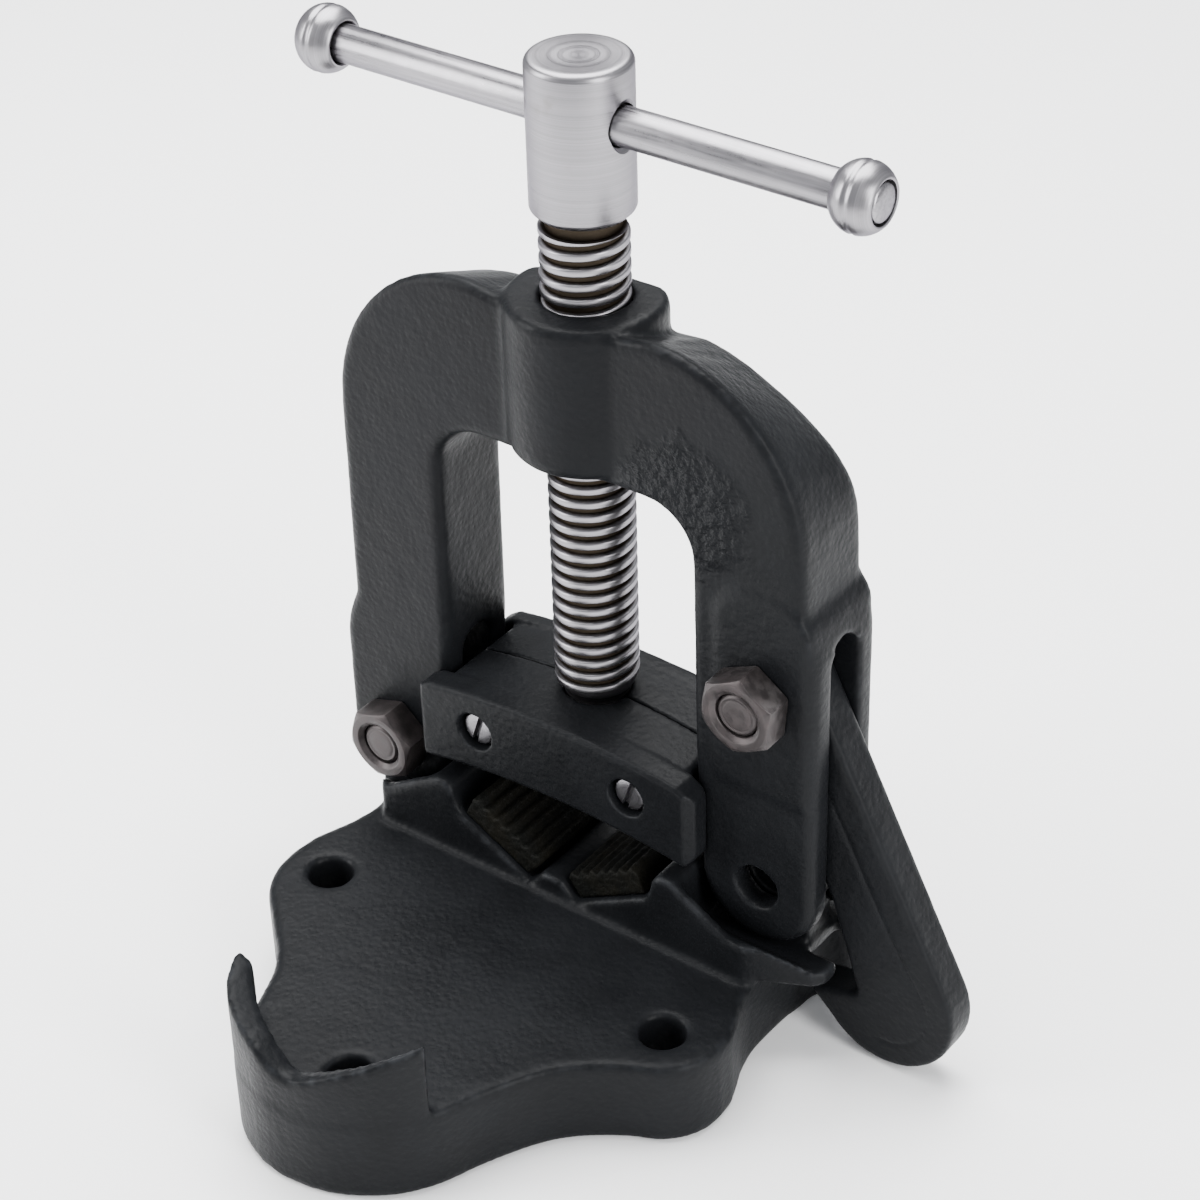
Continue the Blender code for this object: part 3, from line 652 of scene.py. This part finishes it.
def make_screw():
    low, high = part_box("spindle")
    top = high[2] / MM
    foot = low[2] / MM
    rim = sizes().rim / MM
    head_bottom = top - HEAD_HEIGHT_MM
    thread_low = PLATE_TOP + THREAD_START_UP
    thread_foot = thread_low / MM
    rim_curve = [(HEAD_RADIUS_MM - rim + rim * sin(a), top - rim + rim * cos(a))
                 for a in (radians(15 * k) for k in range(7))]
    head = turned("screw_head", [
        (0, top - 0.25), (HEAD_RADIUS_MM - rim - 3.2, top - 0.05),
        (HEAD_RADIUS_MM - rim - 0.6, top), *rim_curve,
        (HEAD_RADIUS_MM, head_bottom + 1.9), (HEAD_RADIUS_MM - 0.2, head_bottom + 1.4),
        (HEAD_RADIUS_MM - 1.5, head_bottom + 0.1), (HEAD_RADIUS_MM - 1.8, head_bottom),
        (9.3, head_bottom - 0.3), (9.3, head_bottom - 4.2), (0, head_bottom - 4.2)])
    hole = turned("bar_hole", [
        (0, 30), (HOLE_MOUTH_RADIUS_MM, 30), (HOLE_MOUTH_RADIUS_MM, HOLE_MOUTH_MM),
        (5.25, 11.9), (HOLE_RADIUS_MM, 0), (5.25, -11.9),
        (HOLE_MOUTH_RADIUS_MM, -HOLE_MOUTH_MM), (HOLE_MOUTH_RADIUS_MM, -30), (0, -30)],
        64, "X", (0, 0, BAR_Z))
    boolean(head, hole)
    smooth(head, 32)
    thread = screw_thread(thread_low, (head_bottom - 3.4) * MM, CREST_RADIUS_MM)
    start = turned("thread_start", [
        (0, head_bottom - 3.0), (CREST_RADIUS_MM - 1.9, head_bottom - 3.0),
        (CREST_RADIUS_MM - 1.2, head_bottom - 4.6), (0, head_bottom - 4.6)])
    end = turned("screw_end", [
        (0, thread_foot + 1.0), (CREST_RADIUS_MM - 1.1, thread_foot + 1.0),
        (CREST_RADIUS_MM - 1.1, thread_foot - 1.2), (CREST_RADIUS_MM - 1.5, thread_foot - 1.8),
        (NECK_RADIUS_MM + 0.3, thread_foot - 3.4), (NECK_RADIUS_MM, thread_foot - 3.8),
        (NECK_RADIUS_MM, foot + COLLAR_HEIGHT_MM), (COLLAR_RADIUS_MM, foot + COLLAR_HEIGHT_MM),
        (COLLAR_RADIUS_MM, foot + 1), (COLLAR_RADIUS_MM - 1, foot), (0, foot)])
    smooth(start)
    smooth(end)
    join(head, thread, start, end)
    head.name = "screw_and_head"
    root_radius = (CREST_RADIUS_MM - sizes().thread_depth / MM) * MM
    # the turned_screw finish paints shade into the thread roots, below these radii
    steel = turned_steel("turned_screw", (0, 0, 0), "Z",
                         (root_radius + 0.0001, CREST_RADIUS_MM * MM - 0.0002))
    bright = turned_steel("turned_head", (0, 0, 0), "Z")
    finish_piece(head, bright, "screw", "bright_steel", "spindle")
    head.data.materials.append(steel)
    border = (head_bottom - 1.0) * MM
    for face in head.data.polygons:
        if thread_low < face.center.z < border:
            face.material_index = 1


def make_bar():
    low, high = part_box("tommy_bar")
    half = high[0] / MM
    radius = (high[2] - low[2]) / 2 / MM
    peened = [(0, half), (radius * 0.55, half - 0.05), (radius * 0.85, half - 0.25),
              (radius - 0.25, half - 0.55), (radius, half - 1.1)]
    profile = peened + [(r, -z) for r, z in reversed(peened)]
    bar = smooth(turned("sliding_bar", profile, 64, "X", (0, 0, BAR_Z)), 50)
    finish_piece(bar, drawn_steel("drawn_bar"), "bar", "bright_steel", "tommy_bar")


def make_knobs():
    """Barrel-shaped rings, a fine groove round the widest place, pressed on the bar's ends."""
    half = 5.5
    widest = 8.5
    bore = 5.02
    steps = 24
    groove_depth = {steps // 2 - 1: 0.22, steps // 2: 0.34, steps // 2 + 1: 0.22}
    for name, axis in (("left", "-X"), ("right", "X")):
        centre = middle_of("bar_knob_" + name)
        barrel = []
        for k in range(steps + 1):
            t = 1 - 2 * k / steps
            swell = widest - 2.0 * t ** 2 - 0.5 * t ** 4
            barrel.append((swell - groove_depth.get(k, 0.0), half * t * 0.985))
        profile = [(bore + 0.25, half * 0.97), (bore + 0.55, half), (barrel[0][0] - 0.3, half)]
        profile += barrel + [(barrel[-1][0] - 0.3, -half), (bore + 0.5, -half), (bore, -half + 0.5)]
        profile += [(bore, half * 0.9), (bore + 0.25, half * 0.97)]
        knob = turned("barrel_knob_" + name, profile, None, axis, centre)
        smooth(knob, 40)
        steel = turned_steel("turned_knob_" + name, centre, "X")
        finish_piece(knob, steel, "bar", "bright_steel", "bar_knob_" + name)


# ---- nuts, bolts and screws --------------------------------------------------------------------

HEX_CORNER_MM = 10.95
BOLT_HEAD_MM = 7.5
SHANK_RADIUS_MM = 5.9
NUT_BORE_MM = 6.05


def hexagon(name, height_mm, turn):
    """A hexagon standing on z = 0, both end faces chamfered to a circle as on a real nut."""
    clear_selection()
    bpy.ops.mesh.primitive_cylinder_add(vertices=6, radius=HEX_CORNER_MM * MM, depth=height_mm * MM,
                                        location=(0, 0, height_mm / 2 * MM),
                                        rotation=(0, 0, radians(turn)))
    body = apply_place(newly_added(name))
    flat = HEX_CORNER_MM * cos(pi / 6)
    drop = (HEX_CORNER_MM + 0.2 - (flat - 0.35)) * 0.58
    edge = turned(name + "_chamfer", [(0, height_mm + 0.01), (flat - 0.35, height_mm + 0.01),
                                      (HEX_CORNER_MM + 0.2, height_mm - drop),
                                      (HEX_CORNER_MM + 0.2, 0.5), (HEX_CORNER_MM - 0.4, -0.01),
                                      (0, -0.01)], 72)
    return boolean(body, edge, "INTERSECT")


def lay_on_y(obj, face_y, facing, centre):
    """Turn a piece that stands on z = 0 to stand on a face across Y, pointing along facing."""
    obj.rotation_euler = (pi / 2 if facing < 0 else -pi / 2, 0, 0)
    obj.location = (centre.x, face_y, centre.z)
    return apply_place(obj)


def make_nuts():
    oxide = oxide_finish("nut_oxide")
    for node, turn in (("hinge_nut", -12), ("hook_nut", -5)):
        low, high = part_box(node)
        height = (high[1] - low[1]) / MM
        nut = hexagon("hex_" + node, height, turn)
        bore = turned(node + "_bore", [(0, height + 1), (7.3, height + 1), (7.3, height),
                                       (NUT_BORE_MM, height - 1.0), (NUT_BORE_MM, 0.8),
                                       (6.7, -0.1), (6.7, -1), (0, -1)], 64)
        boolean(nut, bore)
        bevelled(nut, 0.00025, 2, 25)
        lay_on_y(nut, high[1], -1, middle_of(node))
        finish_piece(smooth(nut, 30), oxide, "yoke", "black_oxide_steel", node)


def make_bolts():
    oxide = oxide_finish("bolt_oxide")
    for node, turn in (("hinge_bolt", 12), ("hook_bolt", 5)):
        low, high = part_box(node)
        bolt = hexagon("hex_" + node, BOLT_HEAD_MM, turn)
        seat = (high[1] - low[1]) / MM - BOLT_HEAD_MM
        shank = turned(node + "_shank", [
            (0, 1.0), (SHANK_RADIUS_MM, 1.0), (SHANK_RADIUS_MM, -seat + 1.4),
            (5.6, -seat + 0.9), (4.9, -seat + 0.35), (4.2, -seat + 0.5), (3.4, -seat + 0.25),
            (1.6, -seat + 0.45), (0, -seat + 0.3)], 64)
        boolean(bolt, shank, "UNION")
        bevelled(bolt, 0.0002, 2, 28)
        lay_on_y(bolt, high[1] - BOLT_HEAD_MM * MM, 1, middle_of(node))
        finish_piece(smooth(bolt, 30), oxide, "yoke", "black_oxide_steel", node)


DRIVER_SLOT = (0.0017, 0.02, 0.0054)
DRIVER_SLOT_TURN = radians(-18)


def make_carrier_screws():
    """Cheese-head screws with a driver slot, sunk in the front half of the sliding jaw."""
    for name in ("left", "right"):
        node = "carrier_screw_" + name
        low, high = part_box(node)
        centre = middle_of(node)
        length = (high[1] - low[1]) / MM
        profile = [(0, -0.9), (2.6, -0.95), (3.9, -1.05), (4.35, -1.2), (4.6, -1.55), (4.65, -1.9),
                   (4.65, -3.8), (3.0, -3.8), (3.0, -length + 0.6), (2.4, -length), (0, -length)]
        screw = turned("slotted_" + node, profile, 64)
        clear_selection()
        bpy.ops.mesh.primitive_cube_add(size=1, location=(0, 0, 0), scale=DRIVER_SLOT,
                                        rotation=(0, 0, DRIVER_SLOT_TURN))
        slot = apply_place(newly_added("driver_slot"))
        boolean(screw, slot)
        bevelled(screw, 0.00012, 1, 40)
        screw.rotation_euler = (pi / 2, 0, 0)
        screw.location = (centre.x, low[1], centre.z)
        apply_place(screw)
        steel = turned_steel("turned_" + node, centre, "Y")
        finish_piece(smooth(screw, 30), steel, "sliding_jaw", "bright_steel", node)


def finish_under_screws():
    oxide = oxide_finish("under_screw_oxide")
    for name in ("left", "right"):
        node = frame["nodes"]["lower_jaw_screw_" + name]
        node.data.materials.clear()
        node.data.materials.append(oxide)


# ---- stage -------------------------------------------------------------------------------------

VIEW_AZIMUTH = radians(37.37)
VIEW_ELEVATION = radians(34.5)
VIEW_ROLL = radians(-1.7)
VIEW_DISTANCE = 0.75245
VIEW_LENS = 88.92
VIEW_TARGET_UP = 0.08133           # above the plate's top
VIEW_TARGET_ASIDE = 0.00116
SENSOR_WIDTH = 36
FLOOR_SIDE = 12
SKY_COLOUR = (0.95, 0.97, 1.0, 1)
SKY_STRENGTH = 0.80
LIGHT_AIM = (0, 0, 0.12)
LIGHTS = (                         # name, place, width and height, watts
    ("top_light", (-0.25, 0.25, 1.15), (1.1, 1.1), 52),
    ("left_light", (-0.95, -0.75, 0.6), (0.5, 0.9), 20),
    ("right_light", (1.05, -0.25, 0.55), (0.35, 0.9), 16),
)


def place_camera():
    back = Vector((sin(VIEW_AZIMUTH) * cos(VIEW_ELEVATION),
                   -cos(VIEW_AZIMUTH) * cos(VIEW_ELEVATION), sin(VIEW_ELEVATION)))
    right = Vector((cos(VIEW_AZIMUTH), sin(VIEW_AZIMUTH), 0))
    up = back.cross(right)
    rolled_right = right * cos(VIEW_ROLL) + up * sin(VIEW_ROLL)
    rolled_up = up * cos(VIEW_ROLL) - right * sin(VIEW_ROLL)
    target = Vector((0, 0, PLATE_TOP + VIEW_TARGET_UP)) + right * VIEW_TARGET_ASIDE
    turn = Matrix((rolled_right, rolled_up, back)).transposed().to_4x4()
    bpy.ops.object.camera_add()
    camera = newly_added("camera")
    camera.matrix_world = Matrix.Translation(target + back * VIEW_DISTANCE) @ turn
    camera.data.lens = VIEW_LENS
    camera.data.sensor_width = SENSOR_WIDTH
    camera.data.clip_start = 0.01
    bpy.context.scene.camera = camera


def softbox(name, at, size, power):
    bpy.ops.object.light_add(type="AREA", location=at)
    light = newly_added(name)
    light.data.shape = "RECTANGLE"
    light.data.size, light.data.size_y = size
    light.data.energy = power
    light.rotation_euler = (Vector(LIGHT_AIM) - Vector(at)).to_track_quat("-Z", "Y").to_euler()


def make_stage():
    clear_selection()
    bpy.ops.mesh.primitive_grid_add(x_subdivisions=8, y_subdivisions=8, size=FLOOR_SIDE)
    floor = newly_added("stage_floor")
    f = Finish("stage_paper")
    shade = tuple(colours().floor)
    f.set("Base Color", f.blend(f.noise(3, 2), shade, tuple(c * 0.985 for c in shade)))
    f.set("Roughness", 0.8)
    floor.data.materials.append(f.material)
    world = bpy.data.worlds.new("studio")
    world.use_nodes = True
    background = world.node_tree.nodes["Background"]
    background.inputs["Color"].default_value = SKY_COLOUR
    background.inputs["Strength"].default_value = SKY_STRENGTH
    bpy.context.scene.world = world
    for name, at, size, power in LIGHTS:
        softbox(name, at, size, power)
    place_camera()


# ---- add-on ------------------------------------------------------------------------------------

class VISE_OT_base(bpy.types.Operator):
    """Foot plate, saddle and horn"""
    bl_idname = "vise.base"
    bl_label = "Base casting"

    def execute(self, context):
        make_base()
        return {"FINISHED"}


class VISE_OT_yoke(bpy.types.Operator):
    """The hinged arch with its hub"""
    bl_idname = "vise.yoke"
    bl_label = "Yoke casting"

    def execute(self, context):
        make_yoke()
        return {"FINISHED"}


class VISE_OT_hook(bpy.types.Operator):
    """The swinging latch and its groove"""
    bl_idname = "vise.hook"
    bl_label = "Latch hook"

    def execute(self, context):
        make_hook()
        return {"FINISHED"}


class VISE_OT_carriers(bpy.types.Operator):
    """Both halves of the sliding jaw"""
    bl_idname = "vise.carriers"
    bl_label = "Sliding jaw halves"

    def execute(self, context):
        make_carriers()
        return {"FINISHED"}


class VISE_OT_jaws(bpy.types.Operator):
    """The three toothed inserts"""
    bl_idname = "vise.jaws"
    bl_label = "Jaw inserts"

    def execute(self, context):
        make_jaws()
        return {"FINISHED"}


class VISE_OT_screw(bpy.types.Operator):
    """Head, neck and right-hand thread"""
    bl_idname = "vise.screw"
    bl_label = "Screw"

    def execute(self, context):
        make_screw()
        return {"FINISHED"}


class VISE_OT_bar(bpy.types.Operator):
    """The bar that slides in the head"""
    bl_idname = "vise.bar"
    bl_label = "T bar"

    def execute(self, context):
        make_bar()
        return {"FINISHED"}


class VISE_OT_knobs(bpy.types.Operator):
    """Barrel-shaped ends of the bar"""
    bl_idname = "vise.knobs"
    bl_label = "Bar knobs"

    def execute(self, context):
        make_knobs()
        return {"FINISHED"}


class VISE_OT_nuts(bpy.types.Operator):
    """Both hexagon nuts"""
    bl_idname = "vise.nuts"
    bl_label = "Nuts"

    def execute(self, context):
        make_nuts()
        return {"FINISHED"}


class VISE_OT_bolts(bpy.types.Operator):
    """Both hexagon bolts"""
    bl_idname = "vise.bolts"
    bl_label = "Bolts"

    def execute(self, context):
        make_bolts()
        return {"FINISHED"}


class VISE_OT_carrier_screws(bpy.types.Operator):
    """Two slotted screws in the sliding jaw"""
    bl_idname = "vise.carrier_screws"
    bl_label = "Carrier screws"

    def execute(self, context):
        make_carrier_screws()
        return {"FINISHED"}


class VISE_OT_under_screws(bpy.types.Operator):
    """Finish of the screws under the base"""
    bl_idname = "vise.under_screws"
    bl_label = "Lower jaw screws"

    def execute(self, context):
        finish_under_screws()
        return {"FINISHED"}


class VISE_OT_stage(bpy.types.Operator):
    """Floor, soft lights and camera"""
    bl_idname = "vise.stage"
    bl_label = "Stage"

    def execute(self, context):
        make_stage()
        return {"FINISHED"}


STEPS = [VISE_OT_base, VISE_OT_yoke, VISE_OT_hook, VISE_OT_carriers, VISE_OT_jaws, VISE_OT_screw,
         VISE_OT_bar, VISE_OT_knobs, VISE_OT_nuts, VISE_OT_bolts, VISE_OT_carrier_screws,
         VISE_OT_under_screws, VISE_OT_stage]


class VISE_PT_panel(bpy.types.Panel):
    """Lists the vise's pieces in the sidebar"""
    bl_idname = "VISE_PT_panel"
    bl_label = "Bench pipe vise"
    bl_space_type = "VIEW_3D"
    bl_region_type = "UI"
    bl_category = "Vise"

    def draw(self, context):
        for group in (context.scene.vise_sizes, context.scene.vise_colours):
            for key in group.__annotations__:
                self.layout.prop(group, key)
        for kind in STEPS:
            self.layout.operator(kind.bl_idname)


CLASSES = [ViseSizes, ViseColours, *STEPS, VISE_PT_panel]


def register():
    for kind in CLASSES:
        bpy.utils.register_class(kind)
    bpy.types.Scene.vise_sizes = PointerProperty(type=ViseSizes)
    bpy.types.Scene.vise_colours = PointerProperty(type=ViseColours)


def unregister():
    del bpy.types.Scene.vise_sizes
    del bpy.types.Scene.vise_colours
    for kind in reversed(CLASSES):
        bpy.utils.unregister_class(kind)


def main():
    register()
    for kind in STEPS:
        getattr(bpy.ops.vise, kind.bl_idname.split(".")[1])()


if __name__ == "__main__":
    main()
